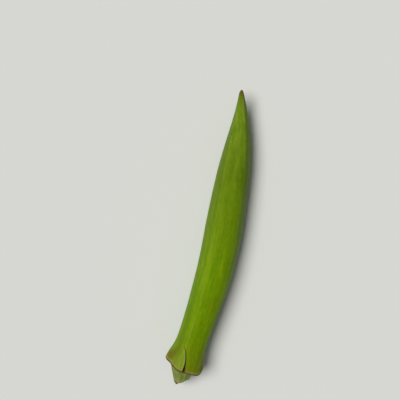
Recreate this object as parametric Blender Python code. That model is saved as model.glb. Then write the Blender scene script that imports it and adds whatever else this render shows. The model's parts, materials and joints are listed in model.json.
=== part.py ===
# Okra pod as picked, lying on its side: the ridged pod and the stem cap that it was cut off with.
# Metres, +Z up, the pod along Y with its stem end at -Y and its beak at +Y, the surface it lies on at z = 0.
import functools
import math

import bmesh
import bpy
from mathutils import Vector

MM = 0.001

# Length along the pod's bent axis, from the rim at the stem end to the point of the beak
POD_LENGTH = 150 * MM

# Radius of the pod at stations along the axis, both in millimetres
POD_GIRTH = [
    (0, 10.35), (1.5, 10.2), (4, 9.6), (7, 8.85), (10, 8.4), (15, 8.2), (23, 8.35), (33, 8.7), (45, 9.15),
    (60, 9.5), (74, 9.65), (86, 9.35), (98, 8.8), (108, 8.15), (118, 6.95), (127, 5.4),
    (135, 3.75), (142, 2.35), (147, 1.45), (149.2, 0.95), (150, 0.4),
]

# Which way the axis heads at stations in millimetres: degrees to the right of +Y, seen from above,
# and degrees upwards. The stations under 0 are in the stem cap
HEADINGS = [(-11, -8), (0, 4), (8, 7), (40, 5.2), (75, -1.6), (115, -3.4), (150, -13)]
PITCHES = [(-11, 6), (0, 4.5), (22, 0.2), (50, -2.4), (78, -0.9), (112, 1.8), (150, 7)]
AXIS_STEP = 1 * MM
REST_HEIGHT = 10.1 * MM      # the axis over the surface at the rim

# Ridges, one for each of the five seed chambers, with the angle of the first from the top at the rim
RIDGES = 5
SECTOR = 2 * math.pi / RIDGES
FIRST_RIDGE = math.radians(-20)
TWIST = math.radians(-0.17) / MM
RIDGE_SOFTNESS = math.radians(7)
GIRTH_OFFSET = math.radians(20)          # POD_GIRTH is the radius this far from a ridge
RIB_WIDTH = math.radians(5)
SEAM_WIDTH = math.radians(6)
SQUARENESS = [(0, 0.24), (10, 0.24), (60, 0.27), (110, 0.36), (140, 0.6), (150, 0.2)]
RIB_HEIGHT = [(0, 0.018), (12, 0.014), (60, 0.016), (110, 0.03), (140, 0.06), (150, 0)]
SEAM_DEPTH = 0.012

# Columns of a sector, in degrees from its ridge, closer together where the rib is
COLUMNS = [-30, -22, -14, -8, -4, 0, 4, 8, 14, 22, 30, 36]

# Rim round the stem end, with the hollow that the stem cap sits in
RIM_LIP = [(0.25, 10.3), (-0.05, 10.15), (-0.15, 9.8), (0.15, 9.2), (0.8, 8.7), (0.95, 8.2)]
SEAT_STATION = 0.95 * MM
SEAT_INNER_RADIUS = 4 * MM
RIM_WAVE = 0.45 * MM
RIM_WAVE_REACH = 7 * MM
RIM_OVERHANG = 1.2 * MM                  # how far the rim reaches beyond station 0
RIM_SLANT = math.radians(6)              # and further on the side at RIM_SLANT_SIDE from the top
RIM_SLANT_SIDE = math.radians(50)
RIM_SLANT_REACH = 14 * MM

# Split in the rim: its path as station in millimetres, degrees from the top, half width and depth
# in millimetres
SPLIT = [
    (-4, -1, 0.95, 2.2), (-2, -1.5, 0.8, 2.2), (0.5, -2.5, 0.52, 2.0), (4, -5, 0.36, 1.6),
    (7.5, -12, 0.28, 1.3), (10.2, -22, 0.2, 0.9), (12.4, -34, 0.1, 0.25),
]
SPLIT_STICK_OUT = 1.2 * MM
LOBE_LIFT = 0.45 * MM        # how far the lobe left of the split stands out
LOBE_SHRINK = 0.6 * MM       # and how much shorter its rim is
LOBE_REACH = 13 * MM
LOBE_SPAN = math.radians(85)
LOBE_FADE = math.radians(35)

# Stem cap: share of its length, and radius in millimetres, from the pod to the cut
CAP_PROFILE = [
    (0, 7.7), (0.06, 7.95), (0.14, 7.8), (0.26, 7.15), (0.4, 6.3), (0.55, 5.55),
    (0.7, 5.0), (0.85, 4.6), (0.95, 4.4), (1, 4.25),
]
CAP_TOP = 0.6 * MM           # 0.35 mm short of the seat
CAP_LENGTH = 11.2 * MM
CAP_CUT_SLANT = math.radians(17)
CAP_RIDGE = [(0, 0.02), (0.25, 0.05), (0.6, 0.12), (1, 0.17)]
CAP_MINOR_SHARE = 0.45
CAP_RINGS = 14
CAP_COLUMNS = 60


def smooth_at(points, x):
    """Value at x of the smooth curve through points."""
    if x <= points[0][0]:
        return points[0][1]
    if x >= points[-1][0]:
        return points[-1][1]
    slopes = []
    for i in range(len(points)):
        before, after = points[max(i - 1, 0)], points[min(i + 1, len(points) - 1)]
        slopes.append((after[1] - before[1]) / (after[0] - before[0]))
    i = max(k for k in range(len(points) - 1) if points[k][0] <= x)
    (x0, y0), (x1, y1) = points[i], points[i + 1]
    span = x1 - x0
    t = (x - x0) / span
    return (
        (2 * t**3 - 3 * t**2 + 1) * y0
        + (t**3 - 2 * t**2 + t) * span * slopes[i]
        + (3 * t**2 - 2 * t**3) * y1
        + (t**3 - t**2) * span * slopes[i + 1]
    )


def fade(x):
    """Eased step from 1 at x = 0 down to 0 at x = 1."""
    x = min(max(x, 0), 1)
    return 1 - x * x * (3 - 2 * x)


def axis_directions(station):
    heading = math.radians(smooth_at(HEADINGS, station / MM))
    pitch = math.radians(smooth_at(PITCHES, station / MM))
    along = Vector((
        math.sin(heading) * math.cos(pitch),
        math.cos(heading) * math.cos(pitch),
        math.sin(pitch),
    ))
    right = Vector((math.cos(heading), -math.sin(heading), 0))
    return along, right, right.cross(along)


@functools.lru_cache(maxsize=None)
def axis_step(count):
    """Point of the axis that many steps from the rim."""
    if count == 0:
        return Vector((0, 0, REST_HEIGHT))
    way = 1 if count > 0 else -1
    middle = (count - way / 2) * AXIS_STEP
    return axis_step(count - way) + axis_directions(middle)[0] * AXIS_STEP * way


def axis_point(station):
    count = round(station / AXIS_STEP)
    rest = station - count * AXIS_STEP
    return axis_step(count) + axis_directions(station - rest / 2)[0] * rest


def ring(columns):
    """Points of a ring, where each column gives (station, angle from the top, radius)."""
    points = []
    for station, angle, radius in columns:
        along, right, up = axis_directions(station)
        across = right * math.sin(angle) + up * math.cos(angle)
        points.append(axis_point(station) + across * radius)
    return points


def ridge_shape(offset, station):
    """Radius over POD_GIRTH at an angle from the nearest ridge."""
    squareness = smooth_at(SQUARENESS, station / MM)
    half = SECTOR / 2
    soft = math.hypot(offset, RIDGE_SOFTNESS) - RIDGE_SOFTNESS
    soft *= half / (math.hypot(half, RIDGE_SOFTNESS) - RIDGE_SOFTNESS)
    flat = math.cos(half) / math.cos(half - soft)
    rib = smooth_at(RIB_HEIGHT, station / MM) * math.exp(-((offset / RIB_WIDTH) ** 2))
    seam = SEAM_DEPTH * math.exp(-(((half - abs(offset)) / SEAM_WIDTH) ** 2))
    return 1 - squareness + squareness * flat + rib - seam


def split_angle(station):
    path = [(row[0], row[1]) for row in SPLIT]
    return math.radians(smooth_at(path, station / MM))


def lobe_share(station, angle):
    """From 0 to 1, how much of the lobe left of the split is at a place."""
    left_of_split = split_angle(station) - angle
    if not 0 < left_of_split < LOBE_SPAN + LOBE_FADE:
        return 0
    return fade(station / LOBE_REACH) * fade((left_of_split - LOBE_SPAN) / LOBE_FADE)


def rim_reach(radius, angle):
    """How much nearer the cut the rim's plane is at that radius and angle than station 0."""
    return RIM_OVERHANG + math.tan(RIM_SLANT) * radius * math.cos(angle - RIM_SLANT_SIDE)


def pod_columns(station, radius=None):
    """Columns of the pod's ring at a station. radius overrides POD_GIRTH inside the rim."""
    columns = []
    for ridge in range(RIDGES):
        for degrees in COLUMNS:
            offset = math.radians(degrees)
            angle = FIRST_RIDGE + TWIST * station + ridge * SECTOR + offset
            angle = (angle + math.pi) % (2 * math.pi) - math.pi
            shape = ridge_shape(offset, station) / ridge_shape(GIRTH_OFFSET, station)
            girth = smooth_at(POD_GIRTH, station / MM) * MM if radius is None else radius
            wave = RIM_WAVE * math.cos(RIDGES * offset) * fade(station / RIM_WAVE_REACH)
            reach = rim_reach(girth, angle) * fade(station / RIM_SLANT_REACH)
            lobe = lobe_share(station, angle)
            columns.append((
                station - wave - reach + LOBE_SHRINK * lobe,
                angle,
                girth * shape + LOBE_LIFT * lobe,
            ))
    return columns


def pod_rings():
    rings = []
    rings.append(ring([
        (SEAT_STATION - rim_reach(SEAT_INNER_RADIUS, angle), angle, SEAT_INNER_RADIUS)
        for _, angle, _ in pod_columns(0)
    ]))
    for station, radius in reversed(RIM_LIP):
        rings.append(ring(pod_columns(station * MM, radius * MM)))
    stations = [0.7, 1.4, 2.3, 3.4, 4.8, 6.4, 8.2, 10.2, 12.4, 15]
    stations += [15 + 3 * i for i in range(1, 42)]
    stations += [143, 145.4, 147.4, 148.8, 149.6, 150]
    for station in stations:
        rings.append(ring(pod_columns(station * MM)))
    return rings


def cap_shape(angle, share):
    """Radius over CAP_PROFILE round the stem cap: a rib under each ridge and a lower one between."""
    turns = (angle - FIRST_RIDGE) / SECTOR
    major = abs(math.cos(math.pi * turns)) ** 6
    minor = abs(math.sin(math.pi * turns)) ** 8
    return 1 + smooth_at(CAP_RIDGE, share) * (major + CAP_MINOR_SHARE * minor - 0.4)


def cap_rings():
    rings = []
    for i in range(CAP_RINGS + 1):
        share = i / CAP_RINGS
        columns = []
        for k in range(CAP_COLUMNS):
            angle = 2 * math.pi * k / CAP_COLUMNS
            radius = smooth_at(CAP_PROFILE, share) * MM * cap_shape(angle, share)
            slant = math.tan(CAP_CUT_SLANT) * radius * math.sin(angle)
            reach = (1 - share) * rim_reach(radius, angle)
            columns.append((CAP_TOP - reach - share * (CAP_LENGTH - slant), angle, radius))
        rings.append(ring(columns))
    return rings


def split_rings():
    """Triangles across the blade that cuts the split, from below the rim to its closed end."""
    rings = []
    for station, degrees, half_width, depth in SPLIT:
        station, angle = station * MM, math.radians(degrees)
        surface = smooth_at(POD_GIRTH, station / MM) * MM
        outer = surface + SPLIT_STICK_OUT
        spread = half_width * MM / surface * (depth * MM + SPLIT_STICK_OUT) / (depth * MM)
        rings.append(ring([
            (station, angle - spread, outer),
            (station, angle + spread, outer),
            (station, angle, surface - depth * MM),
        ]))
    return rings


def skin(name, rings):
    """Mesh object whose skin runs from ring to ring and is closed at both ends."""
    shape = bmesh.new()
    loops = [[shape.verts.new(point) for point in points] for points in rings]
    for near, far in zip(loops, loops[1:]):
        for k in range(len(near)):
            after = (k + 1) % len(near)
            shape.faces.new((near[k], near[after], far[after], far[k]))
    shape.faces.new(loops[0])
    shape.faces.new(loops[-1])
    bmesh.ops.recalc_face_normals(shape, faces=shape.faces)
    mesh = bpy.data.meshes.new(name)
    shape.to_mesh(mesh)
    shape.free()
    mesh.shade_smooth()
    mesh.set_sharp_from_angle(angle=math.radians(40))
    thing = bpy.data.objects.new(name, mesh)
    bpy.context.scene.collection.objects.link(thing)
    return thing


def flatten_on_surface(thing):
    """Presses flat spots on the lowest places, where the thing lies on the surface."""
    shape = bmesh.new()
    shape.from_mesh(thing.data)
    everything = shape.verts[:] + shape.edges[:] + shape.faces[:]
    bmesh.ops.bisect_plane(
        shape, geom=everything, dist=1e-6, plane_co=(0, 0, 0), plane_no=(0, 0, -1), clear_outer=True
    )
    open_edges = [edge for edge in shape.edges if edge.is_boundary]
    bmesh.ops.holes_fill(shape, edges=open_edges)
    bmesh.ops.recalc_face_normals(shape, faces=shape.faces)
    shape.to_mesh(thing.data)
    shape.free()


def material(name, colour, roughness):
    made = bpy.data.materials.new(name)
    made.use_nodes = True
    shader = made.node_tree.nodes["Principled BSDF"]
    shader.inputs["Base Color"].default_value = (*colour, 1)
    shader.inputs["Roughness"].default_value = roughness
    shader.inputs["Metallic"].default_value = 0
    return made


def make_pod():
    pod = skin("pod", pod_rings())
    flatten_on_surface(pod)
    pod.data.materials.append(material("pod_green", (0.15, 0.25, 0.02), 0.5))
    blade = skin("split_blade", split_rings())
    blade.hide_render = True
    blade.display_type = "WIRE"
    cut = pod.modifiers.new("split", "BOOLEAN")
    cut.operation = "DIFFERENCE"
    cut.object = blade
    return pod, blade


def make_stem_cap():
    cap = skin("stem_cap", cap_rings())
    cap.data.materials.append(material("cap_green", (0.14, 0.2, 0.05), 0.6))
    return cap


def main():
    for old in list(bpy.data.objects):
        bpy.data.objects.remove(old)
    pod, blade = make_pod()
    cap = make_stem_cap()

    # The origin is under the middle of the box round the pod and the stem cap
    corners = [vertex.co for thing in (pod, cap) for vertex in thing.data.vertices]
    okra = bpy.data.objects.new("okra", None)
    okra.location.x = -(min(c.x for c in corners) + max(c.x for c in corners)) / 2
    okra.location.y = -(min(c.y for c in corners) + max(c.y for c in corners)) / 2
    bpy.context.scene.collection.objects.link(okra)
    for thing in (pod, blade, cap):
        thing.parent = okra


main()
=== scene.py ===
import json
import math

import bmesh
import bpy
import numpy as np
from mathutils import Matrix, Vector

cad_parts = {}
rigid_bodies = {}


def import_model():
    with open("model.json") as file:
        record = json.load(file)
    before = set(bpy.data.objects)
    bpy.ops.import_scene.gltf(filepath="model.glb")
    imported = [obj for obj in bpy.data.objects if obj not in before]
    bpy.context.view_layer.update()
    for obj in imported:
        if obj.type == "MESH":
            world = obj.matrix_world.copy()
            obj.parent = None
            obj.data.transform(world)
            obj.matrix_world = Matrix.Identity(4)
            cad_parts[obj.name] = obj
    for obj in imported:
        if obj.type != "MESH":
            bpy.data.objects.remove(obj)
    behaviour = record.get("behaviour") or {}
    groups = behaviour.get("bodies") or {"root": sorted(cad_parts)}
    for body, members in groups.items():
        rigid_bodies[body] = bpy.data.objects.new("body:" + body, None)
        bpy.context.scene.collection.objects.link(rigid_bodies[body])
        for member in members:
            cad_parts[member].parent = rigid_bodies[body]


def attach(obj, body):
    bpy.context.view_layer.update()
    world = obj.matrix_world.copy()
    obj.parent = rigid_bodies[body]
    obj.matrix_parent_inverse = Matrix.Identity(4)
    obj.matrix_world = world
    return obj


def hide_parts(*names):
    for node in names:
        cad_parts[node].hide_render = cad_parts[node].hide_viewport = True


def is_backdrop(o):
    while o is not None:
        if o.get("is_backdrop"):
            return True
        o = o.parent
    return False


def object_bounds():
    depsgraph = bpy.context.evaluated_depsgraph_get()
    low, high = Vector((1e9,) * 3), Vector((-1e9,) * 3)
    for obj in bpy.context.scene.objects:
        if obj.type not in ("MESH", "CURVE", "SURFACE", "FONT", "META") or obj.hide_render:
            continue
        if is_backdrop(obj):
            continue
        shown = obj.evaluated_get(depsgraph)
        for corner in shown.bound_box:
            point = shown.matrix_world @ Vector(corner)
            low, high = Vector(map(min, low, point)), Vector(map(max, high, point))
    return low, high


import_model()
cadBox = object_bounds()
mm = 0.001

# An okra pod on its side. It is grown straight up the Z axis, ring by ring, and then bent and laid down.
# Lengths are in millimetres, stations from the collar towards the beak, heights from the foot of the bend
# line. Angles are in degrees from the top of the lying pod, below zero on its left.
growth = {
    "origin": (-2.03, -68.32, 10.1),  # where the collar's middle lies
    "below": 14,  # length of the bend line under the collar
    "above": 151,  # and over it
    # station, and how far the growth points to the right of straight ahead, or upwards
    "headings": [(-11, -8), (0, 4), (8, 7), (40, 5.2), (75, -1.6), (115, -3.4), (150, -13)],
    "pitches": [(-11, 6), (0, 4.5), (22, 0.2), (50, -2.4), (78, -0.9), (112, 1.8), (150, 7)],
    "columns": 60,
    "ridges": 5,
    "firstRidge": -20,  # its angle at the collar
    "twist": -0.17,  # degrees a millimetre
    "sharpAngle": 38,  # edges sharper than this aren't smoothed
    "cutTolerance": 1e-7,  # in metres
}
sector = 360 / growth["ridges"]
columnStep = 360 / growth["columns"]
columnKinds = round(sector / 2 / columnStep) + 1


def smoothAt(points, x):
    # smooth curve through points
    if x <= points[0][0]:
        return points[0][1]
    if x >= points[-1][0]:
        return points[-1][1]
    slopes = []
    for i in range(len(points)):
        before, after = points[max(i - 1, 0)], points[min(i + 1, len(points) - 1)]
        slopes.append((after[1] - before[1]) / (after[0] - before[0]))
    i = max(k for k in range(len(points) - 1) if points[k][0] <= x)
    (x0, y0), (x1, y1) = points[i], points[i + 1]
    span = x1 - x0
    t = (x - x0) / span
    return (
        (2 * t**3 - 3 * t**2 + 1) * y0
        + (t**3 - 2 * t**2 + t) * span * slopes[i]
        + (3 * t**2 - 2 * t**3) * y1
        + (t**3 - t**2) * span * slopes[i + 1]
    )


def smoothAll(points, values, samples=400):
    # the same curve at many values, read between evenly spaced samples of it
    steps = np.linspace(points[0][0], points[-1][0], samples)
    return np.interp(values, steps, [smoothAt(points, step) for step in steps])


def fade(x, start, end):
    # eased from 1 at start down to 0 at end
    x = np.clip((x - start) / (end - start), 0, 1)
    return 1 - x * x * (3 - 2 * x)


def hump(x, middle, spread):
    # 1 in the middle, falling smoothly to both sides
    return np.exp(-(((x - middle) / spread) ** 2))


def turnFrom(middle, angle):
    # degrees from one angle to another, the short way round
    return (angle - middle + 180) % 360 - 180


def activate(piece):
    bpy.ops.object.select_all(action="DESELECT")
    piece.select_set(True)
    bpy.context.view_layer.objects.active = piece


def applyModifier(piece, kind, **settings):
    activate(piece)
    modifier = piece.modifiers.new(kind.lower(), kind)
    for key, value in settings.items():
        setattr(modifier, key, value)
    bpy.ops.object.modifier_apply(modifier=modifier.name)


def subdivide(piece, levels=1):
    applyModifier(piece, "SUBSURF", levels=levels, render_levels=levels)


def pointsOf(piece, what="co"):
    found = np.empty(len(piece.data.vertices) * 3)
    source = piece.data.vertex_normals if what == "normal" else piece.data.vertices
    source.foreach_get("vector" if what == "normal" else "co", found)
    return found.reshape(-1, 3)


def turnSelected(degrees, axis, center):
    # with no window, transform.rotate turns against the right hand
    bpy.ops.transform.rotate(value=-math.radians(degrees), orient_axis=axis, center_override=center)


def selectOnly(mesh, wanted):
    form = bmesh.from_edit_mesh(mesh)
    for vertex in form.verts:
        if vertex.select:
            vertex.select = False
    form.select_flush_mode()
    form.verts.ensure_lookup_table()
    for index in wanted:
        form.verts[index].select = True
    form.select_flush_mode()
    bmesh.update_edit_mesh(mesh)


def startForm(name, corners):
    # a flat circle of vertices round the Z axis, a millimetre in radius, selected in edit mode
    bpy.ops.object.select_all(action="DESELECT")
    bpy.ops.mesh.primitive_circle_add(vertices=corners, radius=mm, fill_type="NGON")
    piece = bpy.context.object
    piece.name = name
    piece.data.name = name
    bpy.ops.object.mode_set(mode="EDIT")
    bpy.ops.mesh.select_mode(type="VERT")
    bpy.ops.mesh.select_all(action="SELECT")
    return piece


def stepUp(number, distance):
    # the first outline is moved along Z, and the later ones are extruded from it
    step = (0, 0, distance * mm)
    if number:
        bpy.ops.mesh.extrude_region_move(TRANSFORM_OT_translate={"value": step})
    else:
        bpy.ops.transform.translate(value=step)


def finishForm(piece):
    bpy.ops.object.mode_set(mode="EDIT")
    bpy.ops.mesh.select_all(action="SELECT")
    bpy.ops.mesh.normals_make_consistent(inside=False)
    bpy.ops.object.mode_set(mode="OBJECT")


def growRings(name, rings):
    # rings have a height, a turn, a tilt about X and Y, and a radius and lift for each kind of column,
    # from the columns on a ridge to those in the middle between two ridges
    piece = startForm(name, growth["columns"])
    mesh = piece.data
    now = {"height": 0, "turn": 0, "tilt": (0, 0), "radii": [1] * columnKinds, "lifts": [0] * columnKinds}
    for number, ring in enumerate(rings):
        stepUp(number, ring["height"] - now["height"])
        form = bmesh.from_edit_mesh(mesh)
        kinds = [[] for _ in range(columnKinds)]
        for vertex in form.verts:
            if vertex.select:
                angle = math.degrees(math.atan2(-vertex.co.x, vertex.co.y)) - now["turn"]
                offset = (angle + sector / 2) % sector - sector / 2
                kinds[round(abs(offset) / columnStep)].append(vertex.index)
        center = (0, 0, ring["height"] * mm)
        for kind, wanted in enumerate(kinds):
            factor = ring["radii"][kind] / now["radii"][kind]
            lift = ring["lifts"][kind] - now["lifts"][kind]
            selectOnly(mesh, wanted)
            bpy.ops.transform.resize(value=(factor, factor, 1), center_override=center)
            if lift:
                bpy.ops.transform.translate(value=(0, 0, lift * mm))
        selectOnly(mesh, [index for wanted in kinds for index in wanted])
        turnSelected(ring["turn"] - now["turn"], "Z", center)
        turnSelected(ring["tilt"][0] - now["tilt"][0], "X", center)
        turnSelected(ring["tilt"][1] - now["tilt"][1], "Y", center)
        now = ring
    return piece


def paintGroup(piece, name, weights, least=0.002):
    group = piece.vertex_groups.new(name=name)
    for index in np.nonzero(weights > least)[0]:
        group.add([int(index)], float(weights[index]), "REPLACE")
    return name


def pushGroup(piece, group, direction, distance):
    applyModifier(
        piece, "DISPLACE", vertex_group=group, direction=direction, strength=distance * mm, mid_level=0
    )


def ripple(piece, group, size, depth, detail, direction="NORMAL"):
    # cloudy unevenness, as wide, deep and long as size
    texture = bpy.data.textures.new("ripple", "CLOUDS")
    texture.noise_scale = 1
    texture.noise_depth = detail
    spacing = bpy.data.objects.new("rippleSpacing", None)
    bpy.context.scene.collection.objects.link(spacing)
    spacing.scale = [side * mm for side in size]
    bpy.context.view_layer.update()
    applyModifier(
        piece, "DISPLACE", texture=texture, texture_coords="OBJECT", texture_coords_object=spacing,
        strength=depth * mm, mid_level=0.5, vertex_group=group, direction=direction,
    )
    bpy.data.objects.remove(spacing)
    bpy.data.textures.remove(texture)


def polar(points):
    # station, angle and radius of points of the straight form, which are in metres
    station = points[:, 2] / mm - growth["below"]
    angle = np.degrees(np.arctan2(-points[:, 0], points[:, 1]))
    return station, angle, np.hypot(points[:, 0], points[:, 1]) / mm


def growthAt(station):
    # which way the pod grows there
    heading = math.radians(smoothAt(growth["headings"], station))
    pitch = math.radians(smoothAt(growth["pitches"], station))
    return Vector((
        math.sin(heading) * math.cos(pitch), math.cos(heading) * math.cos(pitch), math.sin(pitch)
    ))


def bendPlaces():
    # places a millimetre apart along the middle of the pod, from under the collar to past the beak
    places = [Vector(growth["origin"])]
    for i in range(growth["above"]):
        places.append(places[-1] + growthAt(i + 0.5))
    for i in range(growth["below"]):
        places.insert(0, places[0] - growthAt(-i - 0.5))
    return [place * mm for place in places]


def makeBendLine():
    curve = bpy.data.curves.new("bendLine", "CURVE")
    curve.dimensions = "3D"
    curve.twist_mode = "Z_UP"
    spline = curve.splines.new("POLY")
    places = bendPlaces()
    spline.points.add(len(places) - 1)
    for point, place in zip(spline.points, places):
        point.co = (*place, 1)
    bend = bpy.data.objects.new("bendLine", curve)
    bpy.context.scene.collection.objects.link(bend)
    return bend


def rememberGrain(piece):
    # the straight form's own coordinates, in millimetres, carry the pattern along the bent skin
    grain = piece.data.attributes.new("grain", "FLOAT_VECTOR", "POINT")
    grain.data.foreach_set("vector", (pointsOf(piece) / mm).ravel())


def remember(piece, name, values):
    kept = piece.data.attributes.new(name, "FLOAT", "POINT")
    kept.data.foreach_set("value", np.ascontiguousarray(values, dtype=np.float32))


def layDown(piece, bend):
    applyModifier(piece, "CURVE", object=bend, deform_axis="POS_Z")
    # flat where it lies on the surface
    activate(piece)
    bpy.ops.object.mode_set(mode="EDIT")
    bpy.ops.mesh.select_all(action="SELECT")
    bpy.ops.mesh.bisect(
        plane_co=(0, 0, 0), plane_no=(0, 0, 1), clear_inner=True, use_fill=True,
        threshold=growth["cutTolerance"],
    )
    bpy.ops.object.mode_set(mode="OBJECT")
    bpy.ops.object.shade_smooth_by_angle(angle=math.radians(growth["sharpAngle"]))


bendLine = makeBendLine()
print("bend line ready")


# The pod: ridged skin from the hollow under the collar, round its lip and up to the beak
podForm = {
    "seat": (0.95, 4),  # the first ring, in the hollow: station and radius
    # rings from the hollow out over the lip: station and radius
    "lip": [(0.95, 8.2), (0.8, 8.7), (0.15, 9.2), (-0.15, 9.8), (-0.05, 10.15), (0.25, 10.3)],
    # rings over the lip: station
    "stations": [
        0.7, 1.4, 2.3, 3.4, 4.8, 6.4, 8.2, 10.2, 12.4, *range(15, 139, 3),
        140, 142.5, 145, 147, 148.4, 149.3, 150,
    ],
    # station, and radius at girthOffset from a ridge
    "girth": [
        (0, 10.35), (1.5, 10.2), (4, 9.6), (7, 8.85), (10, 8.4), (15, 8.2), (23, 8.35), (33, 8.7),
        (45, 9.15), (60, 9.5), (74, 9.65), (86, 9.35), (98, 8.8), (108, 8.15), (118, 6.95), (127, 5.4),
        (135, 3.75), (142, 2.35), (147, 1.45), (149.2, 0.95), (150, 0.4),
    ],
    "girthOffset": 20,
    # station, and how far the section is from round towards flat between the ridges
    "squareness": [(0, 0.24), (10, 0.24), (60, 0.27), (110, 0.36), (140, 0.6), (150, 0.2)],
    # heights and depths of ribs and seams are shares of the radius, their widths in degrees
    "ribHeight": [(0, 0.018), (12, 0.014), (60, 0.016), (110, 0.03), (140, 0.06), (150, 0)],
    "ribWidth": 5,
    "ridgeSoftness": 7,
    "seamDepth": 0.012,
    "seamWidth": 6,
    "rimWave": 0.45,
    "rimWaveReach": 7,
    "rimOverhang": 1.2,
    "rimSlant": 6,
    "rimSlantSide": 50,
    "rimSlantReach": 14,
    # the lobe left of the split stands out and is drawn back, with a reach along the pod and round it
    "lobe": {"lift": 0.3195, "shrink": 0.6, "reach": 13, "span": (85, 120)},
    # the right corner of the rim reaches further down
    "lowCorner": {"angle": 40, "spread": 38, "reach": 8, "drop": 1.5},
    "hollowRadius": 6,  # inside this the hollow keeps its shape
    # unevenness of the skin, which fades out towards the beak, and the torn edge of the rim
    "waves": {"size": (3.2, 3.2, 30), "depth": 0.16, "detail": 1},
    "fibres": {"size": (0.9, 0.9, 9), "depth": 0.06, "detail": 2},
    "unevenFrom": 1.5,
    "unevenTo": (110, 130),
    "tear": {"size": (1.3, 1.3, 6), "depth": 0.7, "detail": 2, "direction": "Z"},
    "tearTo": (-1, 2.2),
    "tearRadius": 8.4,
    # the rim's edge, which its tan follows, is looked for outside a radius and every few degrees
    "rimRadius": 8.5,
    "rimStep": 4,
    "rimReach": 40,  # farther from it the skin is all alike
    # the scar, with its painted shade, is where the skin looks back at the stem, from fully to not at all,
    # below a station
    "scarNormals": (-0.75, -0.25),
    "scarTop": 2.5,
    # scuffed places: strength, angle and its spread, station and its reach. The one at 60 degrees, under
    # the right of the collar, is partly painted shade.
    "scuffsAndShade": [
        (1, -68, 20, 2.5, 3.2), (0.55, -54, 18, 7, 3.5), (0.7, 16, 13, -0.8, 1.6), (0.9, 60, 18, 0.6, 2.3),
        (0.75, 140, 24, 1, 2.4), (0.6, -150, 18, 6, 4), (0.5, 24, 22, 37, 13), (0.45, -42, 12, 27, 12),
    ],
}


def ridgeShape(offset, station):
    # radius at an angle from a ridge, where 1 is the ridge's without its rib
    squareness = smoothAt(podForm["squareness"], station)
    half, soft = math.radians(sector / 2), math.radians(podForm["ridgeSoftness"])
    inward = math.hypot(math.radians(offset), soft) - soft
    inward *= half / (math.hypot(half, soft) - soft)
    flat = math.cos(half) / math.cos(half - inward)
    rib = smoothAt(podForm["ribHeight"], station) * hump(offset, 0, podForm["ribWidth"])
    seam = podForm["seamDepth"] * hump(offset, sector / 2, podForm["seamWidth"])
    return 1 - squareness + squareness * flat + rib - seam


def rimTilt(share):
    # tilt of the collar about X and Y, of which a ring has a share
    slant, side = podForm["rimSlant"] * share, math.radians(podForm["rimSlantSide"])
    return -slant * math.cos(side), -slant * math.sin(side)


def podRing(station, girth=None, ridged=True):
    if girth is None:
        girth = smoothAt(podForm["girth"], station)
    offsets = [kind * columnStep for kind in range(columnKinds)]
    radii = [girth] * columnKinds
    if ridged:
        middle = ridgeShape(podForm["girthOffset"], station)
        radii = [girth * ridgeShape(offset, station) / middle for offset in offsets]
    slanted = fade(station, 0, podForm["rimSlantReach"])
    waved = podForm["rimWave"] * fade(station, 0, podForm["rimWaveReach"])
    return {
        "height": growth["below"] + station - podForm["rimOverhang"] * slanted,
        "turn": growth["firstRidge"] + growth["twist"] * station,
        "tilt": rimTilt(slanted),
        "radii": radii,
        "lifts": [-waved * math.cos(math.radians(growth["ridges"] * offset)) for offset in offsets],
    }


# The split in the collar, cut by a blade
split = {
    # station, angle, half width at the skin and depth
    "path": [
        (-4, -1, 1.15, 2.2), (-2, -1.5, 1.0, 2.2), (0.5, -2.5, 0.72, 2.0), (2.4, -3.6, 0.42, 1.8),
        (4.6, -6, 0.22, 1.5), (7, -10.8, 0.16, 1.2), (9.2, -18, 0.12, 0.7), (11, -26, 0.06, 0.2),
    ],
    "standOut": 1.2,  # of the blade over the skin
    "between": 3,  # steps of the blade from one row of the path to the next
    "sliver": 0.02,  # edges of the cut shorter than this are merged
    "least": 0.01,  # and what is left shorter than this is dissolved
    # the raised callus: how far right of the split its middle is, its width, height and least radius
    "callus": {"beside": -0.75, "width": 0.45, "height": 0.22, "radius": 8},
    "callusTo": (9, 12),
    # pale lips: how far right of the split, width and strength
    "lips": [(-0.6, 0.6, 1), (0.5, 0.4, 0.35)],
}


def splitColumn(which, station):
    # one column of the path, smoothly read at a station
    return smoothAt([(row[0], row[which]) for row in split["path"]], station)


def splitAngles(station):
    return smoothAll([(row[0], row[1]) for row in split["path"]], station)


def splitAway(station, angle, radius):
    # millimetres to the right of the split along the skin, and 1 beside it fading out past its end
    away = np.radians(turnFrom(splitAngles(station), angle)) * radius
    return away, fade(station, *split["callusTo"])


def lobeShare(station, angle):
    # how much of the lobe left of the split is at a place
    lobe, left = podForm["lobe"], splitAngles(station) - angle
    return np.where(left > 0, fade(station, 0, lobe["reach"]) * fade(left, *lobe["span"]), 0)


def makeBlade():
    path, between = split["path"], split["between"]
    blade = startForm("blade", 3)
    # a wedge with its edge down, from 0 to 1.5 mm high and 1.732 mm wide
    bpy.ops.transform.resize(value=(1, -1, 1), center_override=(0, 0, 0))
    bpy.ops.transform.translate(value=(0, mm, 0))
    wide, high, foot, turn, height = 1.732, 1.5, 0, 0, 0
    for number in range((len(path) - 1) * between + 1):
        station = np.interp(number / between, range(len(path)), [row[0] for row in path])
        angle, halfWidth, depth = [splitColumn(which, station) for which in (1, 2, 3)]
        newHigh = depth + split["standOut"]
        newWide = 2 * halfWidth * newHigh / depth
        newFoot = smoothAt(podForm["girth"], station) - depth
        newHeight = station + growth["below"]
        stepUp(number, newHeight - height)
        turnSelected(-turn, "Z", (0, 0, 0))
        bpy.ops.transform.resize(
            value=(newWide / wide, newHigh / high, 1), center_override=(0, foot * mm, 0)
        )
        bpy.ops.transform.translate(value=(0, (newFoot - foot) * mm, 0))
        turnSelected(angle, "Z", (0, 0, 0))
        wide, high, foot, turn, height = newWide, newHigh, newFoot, angle, newHeight
    finishForm(blade)
    return blade


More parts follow.
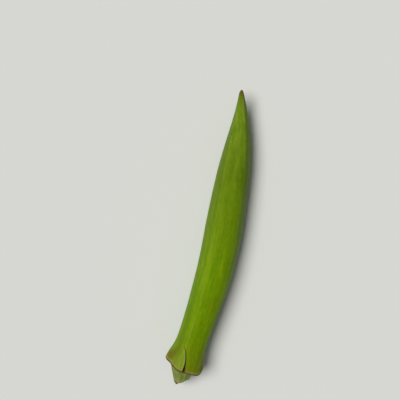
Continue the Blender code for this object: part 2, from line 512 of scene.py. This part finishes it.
def makePod():
    rings = [podRing(*podForm["seat"], ridged=False)]
    rings += [podRing(station, girth) for station, girth in podForm["lip"]]
    rings += [podRing(station) for station in podForm["stations"]]
    pod = growRings("okraPod", rings)
    finishForm(pod)
    subdivide(pod)

    station, angle, radius = polar(pointsOf(pod))
    outside = radius > podForm["hollowRadius"]
    lobe = paintGroup(pod, "lobe", lobeShare(station, angle) * outside)
    pushGroup(pod, lobe, "X", podForm["lobe"]["lift"])
    pushGroup(pod, lobe, "Y", podForm["lobe"]["lift"])
    pushGroup(pod, lobe, "Z", podForm["lobe"]["shrink"])
    low = podForm["lowCorner"]
    corner = fade(station, 0, low["reach"]) * hump(angle, low["angle"], low["spread"])
    pushGroup(pod, paintGroup(pod, "corner", corner * outside), "Z", -low["drop"])
    subdivide(pod)

    station, angle, radius = polar(pointsOf(pod))
    uneven = fade(station, *podForm["unevenTo"]) * (station > podForm["unevenFrom"])
    skin = paintGroup(pod, "skin", uneven)
    ripple(pod, skin, **podForm["waves"])
    ripple(pod, skin, **podForm["fibres"])
    torn = fade(station, *podForm["tearTo"]) * (radius > podForm["tearRadius"])
    ripple(pod, paintGroup(pod, "edge", torn), **podForm["tear"])
    # a raised callus along the left side of the split
    raised = split["callus"]
    away, alongIt = splitAway(station, angle, radius)
    callus = hump(away, raised["beside"], raised["width"]) * alongIt * (radius > raised["radius"])
    pushGroup(pod, paintGroup(pod, "callus", callus), "NORMAL", raised["height"])
    pod.vertex_groups.clear()
    return pod


def splitPod(pod, blade):
    pod.data.materials.append(podSkin)
    blade.data.materials.append(splitFlesh)
    applyModifier(
        pod, "BOOLEAN", object=blade, operation="DIFFERENCE", solver="EXACT", material_mode="TRANSFER"
    )
    bpy.data.objects.remove(blade)
    # the slivers along the cut are merged away
    activate(pod)
    pod.active_material_index = 1
    bpy.ops.object.mode_set(mode="EDIT")
    bpy.ops.mesh.select_all(action="DESELECT")
    bpy.ops.object.material_slot_select()
    bpy.ops.mesh.select_more()
    bpy.ops.mesh.remove_doubles(threshold=split["sliver"] * mm)
    bpy.ops.mesh.dissolve_degenerate(threshold=split["least"] * mm)
    bpy.ops.mesh.quads_convert_to_tris()
    bpy.ops.object.mode_set(mode="OBJECT")


def overRim(station, angle, radius):
    # height over the rim's lowest point at the same angle
    step = podForm["rimStep"]
    turns, lowest = range(-180, 181, step), []
    for turn in turns:
        beside = np.abs(turnFrom(turn, angle)) < step / 2
        lowest.append(station[beside & (radius > podForm["rimRadius"])].min())
    return np.clip(station - np.interp(angle, turns, lowest), 0, podForm["rimReach"])


def rememberPod(pod):
    # what the skin's finish reads
    rememberGrain(pod)
    station, angle, radius = polar(pointsOf(pod))
    remember(pod, "edge", overRim(station, angle, radius))
    away, alongIt = splitAway(station, angle, radius)
    lips = [strength * hump(away, beside, width) for beside, width, strength in split["lips"]]
    remember(pod, "callus", sum(lips) * alongIt)
    scuffed = [
        strength * hump(angle, turn, spread) * hump(station, middle, reach)
        for strength, turn, spread, middle, reach in podForm["scuffsAndShade"]
    ]
    remember(pod, "scuffed", sum(scuffed))
    remember(pod, "lobe", lobeShare(station, angle))
    down = fade(pointsOf(pod, "normal")[:, 2], *podForm["scarNormals"])
    remember(pod, "under", down * (station < podForm["scarTop"]))


# The stem cap: the receptacle under the collar and the stub of stalk, with its slanted cut
capForm = {
    # share of the length down from the top, and radius
    "profile": [
        (0, 7.7), (0.06, 7.95), (0.14, 7.8), (0.26, 7.15), (0.4, 6.3), (0.55, 5.55),
        (0.7, 5.0), (0.85, 4.6), (0.95, 4.4), (1, 4.25),
    ],
    "top": 0.6,
    "length": 11.2,
    "slant": 17,
    "rings": 16,
    # share of the length, and height of the ribs as a share of the radius
    "ridge": [(0, 0.02), (0.25, 0.05), (0.6, 0.12), (1, 0.17)],
    # ribs on the ridges and lesser ones between them, and the height that has the profile's radius
    "ribs": {"sharpness": 6, "betweenSharpness": 8, "betweenShare": 0.45, "level": 0.4},
    # thickness and depth of the rings of the cut face: skin, flesh, wood and pith
    "cut": [(0.4, -0.12), (1.15, -0.22), (0.35, 0.22), (0.45, -0.4)],
    # unevenness of the sides, which is calmer at the cut, and of the cut's edge and face
    "fibres": {"size": (1.3, 1.3, 7), "depth": 0.55, "detail": 2},
    "fibresTo": (-3.2, -1.2),
    "calmAtCut": 0.6,
    "ragged": {"size": (1.3, 1.3, 6), "depth": 1.0, "detail": 1, "direction": "Z"},
    "raggedRadius": 3.4,
    "grit": {"size": (0.5, 0.5, 0.8), "depth": 0.18, "detail": 1, "direction": "Z"},
    "gritRadius": 3.9,
    "cutTo": (-9, -5.5),
    "tooth": {"angle": -62, "spread": 30, "radius": 3, "reach": 1.0},
}


def capRing(share):
    offsets = [kind * columnStep for kind in range(columnKinds)]
    girth, ridge = smoothAt(capForm["profile"], share), smoothAt(capForm["ridge"], share)
    form = capForm["ribs"]
    radii = []
    for offset in offsets:
        turn = math.pi * offset / sector
        ribs = abs(math.cos(turn)) ** form["sharpness"]
        ribs += form["betweenShare"] * abs(math.sin(turn)) ** form["betweenSharpness"]
        radii.append(girth * (1 + ridge * (ribs - form["level"])))
    tilt = rimTilt(1 - share)
    height = growth["below"] + capForm["top"] - podForm["rimOverhang"] * (1 - share)
    return {
        "height": height - share * capForm["length"],
        "turn": growth["firstRidge"],
        "tilt": (tilt[0], tilt[1] + capForm["slant"] * share),
        "radii": radii,
        "lifts": [0] * columnKinds,
    }


def makeCap():
    cap = growRings("okraStemCap", [capRing(i / capForm["rings"]) for i in range(capForm["rings"] + 1)])
    cap.data.materials.append(capSkin)
    cap.data.materials.append(capFlesh)
    for number, (thickness, depth) in enumerate(capForm["cut"]):
        bpy.ops.mesh.inset(thickness=thickness * mm, depth=depth * mm)
        if number == 0:
            cap.active_material_index = 1
            bpy.ops.object.material_slot_assign()
    finishForm(cap)
    subdivide(cap, 2)

    station, angle, radius = polar(pointsOf(cap))
    low = fade(station, *capForm["cutTo"])
    sides = fade(station, *capForm["fibresTo"]) * (1 - capForm["calmAtCut"] * low)
    ripple(cap, paintGroup(cap, "sides", sides), **capForm["fibres"])
    edge = paintGroup(cap, "cutEdge", low * (radius > capForm["raggedRadius"]))
    ripple(cap, edge, **capForm["ragged"])
    face = paintGroup(cap, "cutFace", low * (radius <= capForm["gritRadius"]))
    ripple(cap, face, **capForm["grit"])
    tooth = capForm["tooth"]
    longer = hump(angle, tooth["angle"], tooth["spread"]) * low * (radius > tooth["radius"])
    pushGroup(cap, paintGroup(cap, "tooth", longer), "Z", -tooth["reach"])
    cap.vertex_groups.clear()

    rememberGrain(cap)
    # millimetres under the slanted top
    points, top = pointsOf(cap) / mm, capRing(0)
    aboutX, aboutY = [math.sin(math.radians(tilt)) for tilt in top["tilt"]]
    plane = top["height"] + points[:, 1] * aboutX - points[:, 0] * aboutY
    remember(cap, "belowTop", plane - points[:, 2])
    return cap


# Fine hairs, short and stiff, leaning towards the beak
hairs = {
    "count": 9000,
    "length": (0.18, 0.42),
    "width": 0.014,  # from the middle to a corner, at the root
    "root": 0.04,  # how deep it stands in the skin
    "lean": (0.165, 0.66),  # towards the beak, for 1 out of the skin
    "jitter": 0.16,
    "stations": (0.6, 149),
    "samples": 300,  # of the girth, along those stations
    "tries": 2,  # looks for a place, for each hair
    "outside": 15,  # where a look starts, out from the middle
    "overFloor": 0.4,
    "seed": 11,
}


def findRoots(pod, random):
    # places and normals, spread evenly over the skin, which is met from outside at many stations and angles
    tries = hairs["tries"] * hairs["count"]
    stations = np.linspace(*hairs["stations"], hairs["samples"])
    girths = np.cumsum(smoothAll(podForm["girth"], stations))
    station = np.interp(random.random(tries), girths / girths[-1], stations)
    turn = random.uniform(-math.pi, math.pi, (tries, 1))
    line = np.array(bendPlaces())
    numbers = station + growth["below"]
    middles = np.stack([np.interp(numbers, range(len(line)), line[:, i]) for i in range(3)], 1)
    steps = np.gradient(line, axis=0)
    ahead = np.stack([np.interp(numbers, range(len(line)), steps[:, i]) for i in range(3)], 1)
    ahead /= np.linalg.norm(ahead, axis=1)[:, None]
    sideways = np.cross(ahead, (0, 0, 1))
    sideways /= np.linalg.norm(sideways, axis=1)[:, None]
    outward = sideways * np.sin(turn) + np.cross(sideways, ahead) * np.cos(turn)
    root, up, good = np.zeros((tries, 3)), np.zeros((tries, 3)), []
    for number, (middle, way) in enumerate(zip(middles, outward)):
        met, place, normal, face = pod.ray_cast(middle + way * hairs["outside"] * mm, -way)
        if met and place.z > hairs["overFloor"] * mm and pod.data.polygons[face].material_index == 0:
            root[number], up[number] = place, normal
            good.append(number)
    return root, up, good[:hairs["count"]]


def makeHairs(pod):
    random = np.random.default_rng(hairs["seed"])
    # one hair is a cone with three sides, one unit in radius and height, and is scaled where it stands
    bpy.ops.object.select_all(action="DESELECT")
    bpy.ops.mesh.primitive_cone_add(vertices=3, radius1=1, radius2=0, depth=1, location=(0, 0, 0.5))
    piece = bpy.context.object
    piece.name = "okraHairs"
    bpy.ops.object.transform_apply(location=True, rotation=True, scale=True)
    oneHair = pointsOf(piece)
    faces = [list(face.vertices) for face in piece.data.polygons]

    root, up, good = findRoots(pod, random)
    tries = len(root)
    toBeak = np.array([0, 1, 0]) - up * up[:, 1:2]
    lean = random.uniform(*hairs["lean"], (tries, 1))
    way = up + toBeak * lean + random.normal(0, hairs["jitter"], (tries, 3))
    across = random.normal(size=(tries, 3))
    length = random.uniform(*hairs["length"], (tries, 1)) * mm
    root, way, across, length = root[good], way[good], across[good], length[good]
    way /= np.linalg.norm(way, axis=1)[:, None]
    across = np.cross(way, across)
    across /= np.linalg.norm(across, axis=1)[:, None]
    beside = np.cross(way, across)
    width = hairs["width"] * mm
    root = root - way * hairs["root"] * mm
    every = [root + (across * p[0] + beside * p[1]) * width + way * p[2] * length for p in oneHair]
    every = np.stack(every, 1)
    every[:, :, 2] = np.maximum(every[:, :, 2], 0)
    size = len(oneHair)
    allFaces = [[i * size + k for k in face] for i in range(len(good)) for face in faces]
    piece.data.clear_geometry()
    piece.data.from_pydata(every.reshape(-1, 3).tolist(), [], allFaces)
    piece.data.materials.append(hairFinish)
    return piece


def linear(colour):
    # an 8 bit screen colour as light
    shares = [c / 255 for c in colour]
    return [s / 12.92 if s <= 0.04045 else ((s + 0.055) / 1.055) ** 2.4 for s in shares] + [1]


class Shade:
    # a number that changes over the surface

    def __init__(self, nodes, socket):
        self.nodes, self.socket = nodes, socket

    def __add__(self, other):
        return self.nodes.maths("ADD", self, other)

    __radd__ = __add__

    def __sub__(self, other):
        return self.nodes.maths("SUBTRACT", self, other)

    def __rsub__(self, other):
        return self.nodes.maths("SUBTRACT", other, self)

    def __mul__(self, other):
        return self.nodes.maths("MULTIPLY", self, other)

    __rmul__ = __mul__

    def __truediv__(self, other):
        return self.nodes.maths("DIVIDE", self, other)

    def __rtruediv__(self, other):
        return self.nodes.maths("DIVIDE", other, self)


class Nodes:
    # the nodes of a material or of the sky

    def __init__(self, tree):
        self.tree = tree

    def feed(self, socket, value):
        value = getattr(value, "socket", value)
        if isinstance(value, bpy.types.NodeSocket):
            self.tree.links.new(value, socket)
        else:
            socket.default_value = value

    def node(self, kind, settings, sockets, out=0):
        made = self.tree.nodes.new(kind)
        for key, value in settings.items():
            if key == "stops":
                stops = made.color_ramp.elements
                while len(stops) < len(value):
                    stops.new(0.5)
                for stop, (position, colour) in zip(stops, value):
                    stop.position, stop.color = position, colour
            else:
                setattr(made, key, value)
        for socket, value in sockets.items():
            self.feed(made.inputs[socket], value)
        return Shade(self, made.outputs[out])

    def maths(self, operation, first, second=0.0):
        return self.node("ShaderNodeMath", {"operation": operation}, {0: first, 1: second})

    def length(self, x, y):
        return self.maths("SQRT", x * x + y * y)

    def part(self, vector, which):
        # one of the three parts of a vector
        return self.node("ShaderNodeSeparateXYZ", {}, {0: vector}, which)

    def kept(self, name, vector=False):
        return self.node("ShaderNodeAttribute", {"attribute_name": name}, {}, 1 if vector else 2)

    def stretched(self, vector, scale):
        return self.node("ShaderNodeVectorMath", {"operation": "MULTIPLY"}, {0: vector, 1: scale})

    def noise(self, vector, scale, detail=2, roughness=0.5):
        where = self.stretched(vector, scale)
        look = {"Vector": where, "Scale": 1, "Detail": detail, "Roughness": roughness}
        return self.node("ShaderNodeTexNoise", {}, look)

    def wander(self, value, amount):
        # a pattern's ups and downs about its middle
        return (value - 0.5) * amount

    def rise(self, value, low, high):
        # eased from 0 at low to 1 at high
        return self.node(
            "ShaderNodeMapRange", {"interpolation_type": "SMOOTHSTEP"}, {0: value, 1: low, 2: high}
        )

    def ramp(self, value, stops):
        # stops have a position and a screen colour
        stops = [(position, linear(colour)) for position, colour in stops]
        return self.node("ShaderNodeValToRGB", {"stops": stops}, {0: value})

    def mix(self, factor, under, over, blend="MIX"):
        return self.node(
            "ShaderNodeMix", {"data_type": "RGBA", "blend_type": blend}, {0: factor, 6: under, 7: over}, 2
        )

    def blended(self, factor, colours):
        # from one screen colour to another
        return self.mix(factor, *[linear(colour) for colour in colours])

    def marked(self, colour, where, mark):
        # a mark has a screen colour and a strength
        return self.mix(where * mark[1], colour, linear(mark[0]))

    def tinted(self, colour, value, tints, low=0.3, high=0.7):
        # colour multiplied by the first tint where value is low, to the second where it is high
        stops = [(low, (*tints[0], 1)), (high, (*tints[1], 1))]
        tint = self.node("ShaderNodeValToRGB", {"stops": stops}, {0: value})
        return self.mix(1, colour, tint, "MULTIPLY")


class Finish(Nodes):
    # a material on the Principled shader

    def __init__(self, name, fixed):
        self.material = bpy.data.materials.new(name)
        self.material.use_nodes = True
        super().__init__(self.material.node_tree)
        self.shader = self.tree.nodes["Principled BSDF"]
        for socket, value in fixed.items():
            self.feed(self.shader.inputs[socket], value)

    def finished(self, colour, roughness, height=None, depth=0.1, strength=1):
        self.feed(self.shader.inputs["Base Color"], colour)
        self.feed(self.shader.inputs["Roughness"], roughness)
        if height is not None:
            relief = {"Height": height, "Distance": depth * mm, "Strength": strength}
            self.feed(self.shader.inputs["Normal"], self.node("ShaderNodeBump", {}, relief))
        return self.material


# Colours are as on a screen. Patterns have the waves to the millimetre across, up and along the straight
# form, detail and roughness. Tints multiply the colour in a pattern's low and high places. Marks have a
# colour and a strength, and come up between two values of a pattern, or two distances in millimetres.
podLook = {
    "shader": {
        "Sheen Weight": 0.02, "Sheen Roughness": 0.45, "Sheen Tint": (0.8, 0.95, 0.5, 1),
        "IOR": 1.34, "Specular IOR Level": 0.3, "Specular Tint": (0.75, 0.95, 0.2, 1),
        "Subsurface Weight": 0.06, "Subsurface Scale": 0.002, "Subsurface Radius": (0.7, 1, 0.25),
    },
    # station and colour of the skin, from under the collar to the beak
    "along": [
        (-4, (108, 126, 10)), (20, (102, 136, 0)), (50, (105, 140, 2)), (105, (95, 123, 14)),
        (140, (104, 132, 28)), (151, (104, 104, 34)),
    ],
    "patterns": {
        "wide": ((0.42, 0.42, 0.012), 2),
        "streaks": ((1.3, 1.3, 0.035), 3, 0.6),
        "fine": ((4.5, 4.5, 0.16), 2, 0.6),
        "mottle": ((0.22, 0.22, 0.1), 3),
        "dapple": ((0.75, 0.75, 0.34), 3, 0.6),
        "cells": ((5.5, 5.5, 2.6), 2),
        "rubbed": ((0.9, 0.9, 0.11), 3, 0.65),
        "corky": ((1.3, 1.3, 1.3), 3, 0.65),
    },
    "tints": {
        "wide": ((0.8, 0.87, 0.6), (1.18, 1.12, 1.3)),
        "streaks": ((0.84, 0.9, 0.7), (1.12, 1.07, 1.2)),
        "fine": ((0.92, 0.94, 0.85), (1.08, 1.05, 1.1)),
        "mottle": ((0.93, 0.96, 0.9), (1.09, 1.03, 1.05)),
        "dapple": ((0.86, 0.89, 0.8), (1.13, 1.1, 1.16)),
    },
    # paler ridge crests: partly their own paler tone and partly a painted highlight
    "crestAndHighlight": ((140, 158, 62), 0.22),
    "seam": ((66, 92, 8), 0.2),
    "scuff": ((126, 108, 36), 0.5),
    "speck": ((58, 62, 12), 0.6),
    # the lobe's paler green is painted light where it bulges
    "lobe": ((130, 154, 62), 0.4),
    "collar": ((126, 118, 36), 0.45),
    "patch": ((102, 94, 14), 0.75),
    "pale": ((142, 160, 74), 0.55),
    "tan": ((142, 136, 72), 0.8),
    # dark line at the rim: browned lip and painted shade of the gap under it
    "line": ((62, 46, 12), 0.85),
    "beak": ((92, 74, 34), 0.85),
    # the scar's colours from the inside out, as shares of the way between the radii, darkest in the hollow
    # under the collar as painted shade
    "scarAndShade": [(0, (44, 30, 12)), (0.35, (76, 52, 22)), (0.7, (112, 94, 42)), (1, (128, 122, 58))],
    "scarRadii": (7.6, 10.2),
    "between": {
        "crestAndHighlight": (0.86, 1), "crestBreaks": (0.35, 0.6), "seam": (0.975, 1), "seamOverRim": (4, 25),
        "scuff": (0.54, 0.66), "scuffOnRidge": (0.1, 0.9), "speckSize": (0.45, 0.85),
        "speckPlaces": (0.42, 0.58), "collar": (0.45, 0.65), "collarOverRim": (-1, 9),
        "patch": (0.6, 1.05), "pale": (0.25, 0.95), "tan": (1.2, 2.6), "line": (0.55, 1.15),
        "scarAndShade": (0.2, 0.8), "beak": (146.5, 149.1),
    },
    # how far patterns move these, in millimetres, and specks in shares of their spacing
    "wander": {
        "along": 12, "speck": 0.16, "collar": 14, "tan": (1.4, 1.6), "line": (0.6, 1), "scarAndShade": 2.2,
        "beak": 3,
    },
    "speckSpacing": (0.62, 0.62, 0.3),  # places for one to the millimetre
    "speckSize": 0.17,  # and its soft edge, as shares of the spacing
    "speckEdge": 0.03,
    "roughness": 0.5,
    "relief": (0.12, 0.7),  # depth and strength
}


def makePodSkin():
    look, between, wander = podLook, podLook["between"], podLook["wander"]
    skin = Finish("podSkin", look["shader"])
    grain = skin.kept("grain", True)
    across, upward = skin.part(grain, 0), skin.part(grain, 1)
    station = skin.part(grain, 2) - growth["below"]
    radius = skin.length(across, upward)
    angle = skin.maths("ARCTAN2", across * -1, upward)
    firstRidge, twist = math.radians(growth["firstRidge"]), math.radians(growth["twist"])
    # 1 on a ridge and -1 in the middle between two
    ridge = skin.maths("COSINE", (angle - firstRidge - station * twist) * growth["ridges"])
    edge, under = skin.kept("edge"), skin.kept("under")
    callus, scuffed = skin.kept("callus"), skin.kept("scuffed")
    noise = {name: skin.noise(grain, *row) for name, row in look["patterns"].items()}
    streaks, fine, mottle = noise["streaks"], noise["fine"], noise["mottle"]
    dapple, rubbed, corky = noise["dapple"], noise["rubbed"], noise["corky"]

    first, last = look["along"][0][0], look["along"][-1][0]
    stops = [((place - first) / (last - first), colour) for place, colour in look["along"]]
    place = station + skin.wander(mottle, wander["along"])
    colour = skin.ramp((place - first) / (last - first), stops)
    for name, tints in look["tints"].items():
        colour = skin.tinted(colour, noise[name], tints)

    # paler crests on the ridges, their own paler tone with a painted highlight along them, and a thin dark
    # seam between them
    crestAndHighlight = skin.rise(ridge, *between["crestAndHighlight"]) * skin.rise(streaks, *between["crestBreaks"])
    colour = skin.marked(colour, crestAndHighlight, look["crestAndHighlight"])
    seam = skin.rise(ridge * -1, *between["seam"]) * skin.rise(edge, *between["seamOverRim"])
    colour = skin.marked(colour, seam, look["seam"])

    # brown scuffs on the ridges, and specks
    scuff = skin.rise(rubbed * 0.6 + dapple * 0.4, *between["scuff"])
    scuff = scuff * skin.rise(ridge, *between["scuffOnRidge"])
    colour = skin.marked(colour, scuff, look["scuff"])
    cell = {"Vector": skin.stretched(grain, look["speckSpacing"]), "Scale": 1}
    fromSpot = skin.node("ShaderNodeTexVoronoi", {}, cell) + skin.wander(fine, wander["speck"])
    chance = skin.node("ShaderNodeTexVoronoi", {}, cell, "Color")
    size = skin.rise(chance, *between["speckSize"]) * look["speckSize"]
    speck = 1 - skin.rise(fromSpot, size * 0.4, size + look["speckEdge"])
    speck = speck * skin.rise(mottle, *between["speckPlaces"])
    colour = skin.marked(colour, speck, look["speck"])

    # the collar: a lobe painted paler as painted light where it bulges, olive and brown patches, the pale
    # lips of the split, and a tan, torn rim
    colour = skin.marked(colour, skin.kept("lobe") * (mottle + 0.5), look["lobe"])
    collar = 1 - skin.rise(edge + skin.wander(mottle, wander["collar"]), *between["collarOverRim"])
    colour = skin.marked(colour, collar * skin.rise(rubbed, *between["collar"]), look["collar"])
    # olive-brown patches on the scuffed places; the one under the right of the collar is partly painted
    # shade
    patch = skin.rise((scuffed + rubbed) * 0.8, *between["patch"])
    colour = skin.marked(colour, patch, look["patch"])
    colour = skin.marked(colour, skin.rise(callus, *between["pale"]), look["pale"])
    ragged = edge + skin.wander(streaks, wander["tan"][0]) + skin.wander(rubbed, wander["tan"][1])
    tan = 1 - skin.rise(ragged, *between["tan"])
    colour = skin.marked(colour, tan, look["tan"])
    # a dark line along the rim's edge: the browned lip, darkened further as painted shade of the gap under
    # it
    ragged = edge + skin.wander(fine, wander["line"][0]) + skin.wander(mottle, wander["line"][1])
    colour = skin.marked(colour, 1 - skin.rise(ragged, *between["line"]), look["line"])

    # the brown scar under the collar, darkened into the hollow as painted shade, and the browned tip of the
    # beak
    scarAndShade = skin.rise(under, *between["scarAndShade"])
    inner, outer = look["scarRadii"]
    outwards = (radius + skin.wander(corky, wander["scarAndShade"]) - inner) / (outer - inner)
    colour = skin.mix(scarAndShade, colour, skin.ramp(outwards, look["scarAndShade"]))
    beak = skin.rise(station + skin.wander(mottle, wander["beak"]), *between["beak"])
    colour = skin.marked(colour, beak, look["beak"])

    roughness = streaks * 0.16 + tan * 0.25 + scarAndShade * 0.3 + scuff * 0.15 + look["roughness"]
    relief = noise["cells"] * 0.5 + fine * 0.5 + streaks * 0.8 - speck * 0.4
    relief = relief + scarAndShade * corky * 3 + tan * rubbed
    return skin.finished(colour, roughness, relief, *look["relief"])


splitLook = {
    "shader": {"Specular IOR Level": 0.3},
    "grit": ((2.2, 2.2, 0.9), 3),
    "brown": [(0.3, (76, 46, 16)), (0.55, (110, 76, 30)), (0.75, (142, 122, 58))],
    "greens": ((60, 74, 10), (110, 126, 34)),
    "greenBetween": (1, 6),  # stations
    "greenWander": 4,
    "roughness": 0.75,
    "relief": 0.2,
}


def makeSplitFlesh():
    look = splitLook
    flesh = Finish("splitFlesh", look["shader"])
    grain = flesh.kept("grain", True)
    grit = flesh.noise(grain, *look["grit"])
    place = flesh.part(grain, 2) - growth["below"] + flesh.wander(grit, look["greenWander"])
    brown = flesh.ramp(grit, look["brown"])
    green = flesh.blended(grit, look["greens"])
    colour = flesh.mix(flesh.rise(place, *look["greenBetween"]), brown, green)
    return flesh.finished(colour, grit * 0.2 + look["roughness"], grit, look["relief"])


capLook = {
    "shader": {
        "Sheen Weight": 0.04, "Sheen Roughness": 0.5, "Sheen Tint": (0.8, 0.9, 0.6, 1),
        "Specular IOR Level": 0.3, "Specular Tint": (0.85, 0.95, 0.6, 1),
    },
    "streaks": ((1.5, 1.5, 0.16), 3, 0.6),
    "mottle": ((0.75, 0.75, 0.14), 3),
    "cells": ((4, 4, 2), 2),
    "greens": ((98, 130, 34), (130, 136, 70)),
    "streakTints": ((0.68, 0.76, 0.55), (1.28, 1.2, 1.35)),
    "dried": ((146, 142, 96), 0.6),
    "browned": ((84, 66, 34), 0.8),
    # a dark band under the collar: painted shade of the collar, with some brown scar
    "scarAndShade": ((52, 42, 14), 0.88),
    # stations for dried and browned, and distances under the top for the dark band under the collar, which
    # is painted shade with some brown scar
    "between": {
        "greens": (0.36, 0.62), "dried": (-11.5, -7.5), "browned": (-12.1, -10.7), "scarAndShade": (1.5, 3),
    },
    "wander": {"dried": 6, "browned": 3, "scarAndShade": 1.6},
    "roughness": 0.55,
    "relief": (0.16, 0.8),  # depth and strength
}


def makeCapSkin():
    look, between, wander = capLook, capLook["between"], capLook["wander"]
    skin = Finish("capSkin", look["shader"])
    grain = skin.kept("grain", True)
    station = skin.part(grain, 2) - growth["below"]
    streaks, mottle = skin.noise(grain, *look["streaks"]), skin.noise(grain, *look["mottle"])
    cells = skin.noise(grain, *look["cells"])
    colour = skin.blended(skin.rise(mottle, *between["greens"]), look["greens"])
    colour = skin.tinted(colour, streaks, look["streakTints"])
    dried = 1 - skin.rise(station + skin.wander(mottle, wander["dried"]), *between["dried"])
    colour = skin.marked(colour, dried, look["dried"])
    browned = 1 - skin.rise(station + skin.wander(streaks, wander["browned"]), *between["browned"])
    colour = skin.marked(colour, browned, look["browned"])
    # painted shade under the collar's top, with some brown scar
    belowTop = skin.kept("belowTop") + skin.wander(mottle, wander["scarAndShade"])
    colour = skin.marked(colour, 1 - skin.rise(belowTop, *between["scarAndShade"]), look["scarAndShade"])
    roughness = streaks * 0.2 + look["roughness"]
    return skin.finished(colour, roughness, streaks + cells * 0.6, *look["relief"])


cutLook = {
    "shader": {"Specular IOR Level": 0.3, "Subsurface Weight": 0.05, "Subsurface Scale": 0.001},
    "grit": ((2.4, 2.4, 2.4), 3, 0.6),
    "gritTints": ((0.78, 0.76, 0.66), (1.12, 1.12, 1.1)),
    # the cut face from pith and wood to the skin, as shares of its radius
    "rings": [
        (0, (196, 188, 146)), (0.36, (188, 182, 132)), (0.46, (128, 124, 66)), (0.56, (156, 160, 96)),
        (0.8, (138, 146, 82)), (0.93, (92, 78, 38)), (1, (66, 48, 22)),
    ],
    "radius": 4.4,
    "wander": 0.7,
    "roughness": 0.7,
    "relief": 0.25,
}


def makeCapFlesh():
    look = cutLook
    flesh = Finish("capFlesh", look["shader"])
    grain = flesh.kept("grain", True)
    grit = flesh.noise(grain, *look["grit"])
    radius = flesh.length(flesh.part(grain, 0), flesh.part(grain, 1))
    colour = flesh.ramp((radius + flesh.wander(grit, look["wander"])) / look["radius"], look["rings"])
    colour = flesh.tinted(colour, grit, look["gritTints"])
    return flesh.finished(colour, grit * 0.2 + look["roughness"], grit, look["relief"])


hairLook = {
    "shader": {"Specular IOR Level": 0.4},
    "grit": ((900, 900, 900), 1),  # waves to the metre
    "tones": ((140, 160, 76), (182, 194, 122)),
    "roughness": 0.55,
}


def makeHairFinish():
    finish = Finish("hairFinish", hairLook["shader"])
    place = finish.node("ShaderNodeTexCoord", {}, {}, "Object")
    colour = finish.blended(finish.noise(place, *hairLook["grit"]), hairLook["tones"])
    return finish.finished(colour, hairLook["roughness"])


podSkin, splitFlesh = makePodSkin(), makeSplitFlesh()
capSkin, capFlesh, hairFinish = makeCapSkin(), makeCapFlesh(), makeHairFinish()
print("finishes ready")

okraPod = makePod()
splitPod(okraPod, makeBlade())
rememberPod(okraPod)
layDown(okraPod, bendLine)
print("pod ready:", len(okraPod.data.polygons), "faces")

okraStemCap = makeCap()
layDown(okraStemCap, bendLine)
print("stem cap ready:", len(okraStemCap.data.polygons), "faces")

okraHairs = makeHairs(okraPod)
print("hairs ready:", len(okraHairs.data.polygons), "faces")
bpy.data.objects.remove(bendLine)

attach(okraPod, "root")
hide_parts("pod")
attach(okraStemCap, "root")
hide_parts("stem_cap")
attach(okraHairs, "root")


# The studio: a pale floor, a large soft light from the upper left, and the sky
studio = {
    "floor": (219, 221, 219),
    "floorShader": {"Specular IOR Level": 0.2},
    "floorRoughness": 0.9,
    "floorSize": 40,  # metres
    "lightFrom": (-0.42, 0.2, 0.9),
    "lightAngle": 32,  # how large the light looks
    "light": 2.8,
    "lightColour": (1, 0.985, 0.95),
    "sky": (0.16, 0.16, 0.1568),
    "horizon": (214, 215, 210),
    "horizonTo": (0.03, 0.09),  # how far up its glow fades
}


def makeStudio():
    bpy.ops.object.select_all(action="DESELECT")
    bpy.ops.mesh.primitive_plane_add(size=studio["floorSize"])
    floor = bpy.context.object
    floor.name = "floor"
    paper = Finish("floorPaper", studio["floorShader"])
    floor.data.materials.append(paper.finished(linear(studio["floor"]), studio["floorRoughness"]))
    floor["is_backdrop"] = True
    bpy.ops.object.light_add(type="SUN")
    lamp = bpy.context.object
    lamp.name = "softLight"
    lamp.data.angle = math.radians(studio["lightAngle"])
    lamp.data.energy = studio["light"]
    lamp.data.color = studio["lightColour"]
    lamp.rotation_euler = (-Vector(studio["lightFrom"])).to_track_quat("-Z", "Y").to_euler()
    sky = bpy.data.worlds.new("sky")
    sky.use_nodes = True
    nodes = Nodes(sky.node_tree)
    upward = nodes.part(nodes.node("ShaderNodeTexCoord", {}, {}, "Generated"), 2)
    overHorizon = nodes.rise(upward, *studio["horizonTo"])
    glow = nodes.mix(overHorizon, linear(studio["horizon"]), (*studio["sky"], 1))
    nodes.feed(sky.node_tree.nodes["Background"].inputs["Color"], glow)
    bpy.context.scene.world = sky
    bpy.context.scene.view_settings.view_transform = "Standard"


# The camera looks down on the pod from a little beyond the beak
camera = {
    "target": (-0.01198, 0.02063, 0.010),
    "distance": 0.5,
    "tilt": 13,
    "roll": 11.36,
    "pixel": 0.0005181,  # metres a pixel at the target
    "pixels": 400,  # across the frame
    "sensor": 36,  # millimetres across
    "near": 0.01,
}


def makeCamera():
    tilt, roll = math.radians(camera["tilt"]), math.radians(camera["roll"])
    ahead = Vector((-math.sin(roll), math.cos(roll), 0))
    right = Vector((math.cos(roll), math.sin(roll), 0))
    back = ahead * math.sin(tilt) + Vector((0, 0, 1)) * math.cos(tilt)
    up = back.cross(right)
    place = Vector(camera["target"]) + back * camera["distance"]
    bpy.ops.object.camera_add()
    eye = bpy.context.object
    eye.name = "camera"
    rows = [(right[i], up[i], back[i], place[i]) for i in range(3)]
    eye.matrix_world = Matrix(rows + [(0, 0, 0, 1)])
    eye.data.sensor_width = camera["sensor"]
    eye.data.lens = camera["distance"] / camera["pixel"] * camera["sensor"] / camera["pixels"]
    eye.data.clip_start = camera["near"]
    bpy.context.scene.camera = eye


makeStudio()
makeCamera()
print("studio ready")

sizes = {"cad": cadBox, "visual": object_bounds()}
sizes = {name: [[float(c) for c in corner] for corner in box] for name, box in sizes.items()}
